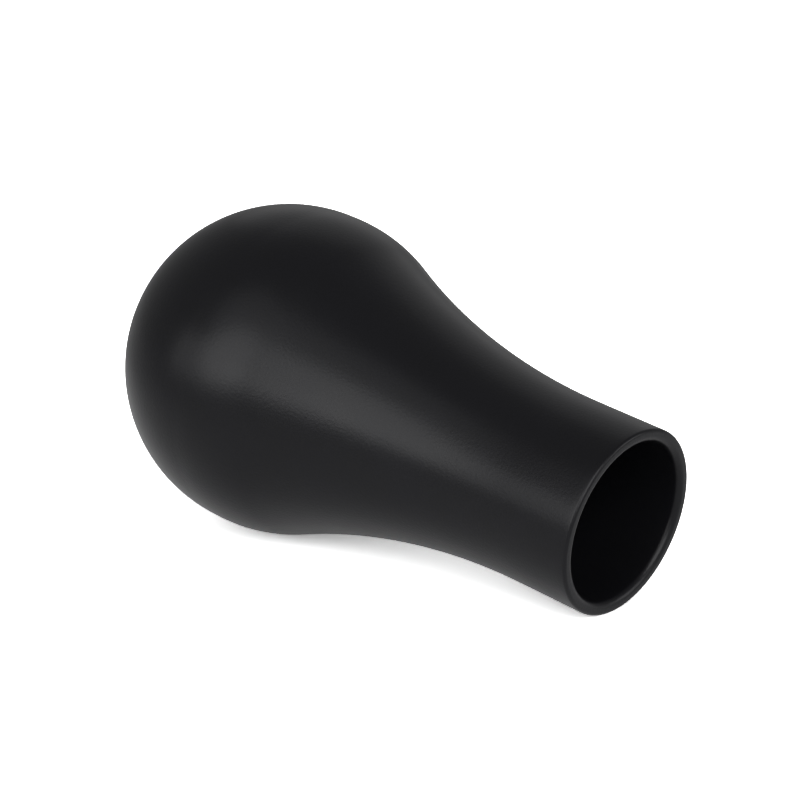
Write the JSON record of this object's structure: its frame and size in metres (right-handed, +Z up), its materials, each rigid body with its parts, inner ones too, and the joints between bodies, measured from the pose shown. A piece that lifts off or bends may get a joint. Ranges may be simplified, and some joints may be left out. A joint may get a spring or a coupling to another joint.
{
  "type": "dust blower bulb",
  "caption": "Black rubber squeeze bulb for blowing dust off watch parts: a round ball, a hollow-curved shoulder and a straight neck with an open mouth.",
  "frame": {"origin": "centre of the underside of the whole bulb's box, on the ground that the bulb lies on", "axes": "+Z up; +X towards the mouth, whose axis dips about 10 degrees below +X; Y across, with the thumb side at -Y"},
  "size_m": [0.0914, 0.05, 0.0502],
  "materials": {
    "rubber": "satin moulded rubber"
  },
  "bodies": {
    "bulb": {"mouth_neck": "rubber", "ball_wall": "rubber"},
    "thumb_side": {"thumb_wall": "rubber"},
    "finger_side": {"finger_wall": "rubber"}
  },
  "joints": [
    {"name": "thumb_squeeze", "type": "slide", "parent": "bulb", "child": "thumb_side", "axis": [0, 1, 0], "range_m": [0, 0.012], "stiffness_N_per_m": 1200},
    {"name": "finger_squeeze", "type": "slide", "parent": "bulb", "child": "finger_side", "axis": [0, -1, 0], "range_m": [0, 0.012], "stiffness_N_per_m": 1200}
  ],
  "couplings": [
    {"joint": "finger_squeeze", "follows": "thumb_squeeze", "ratio": 1}
  ]
}
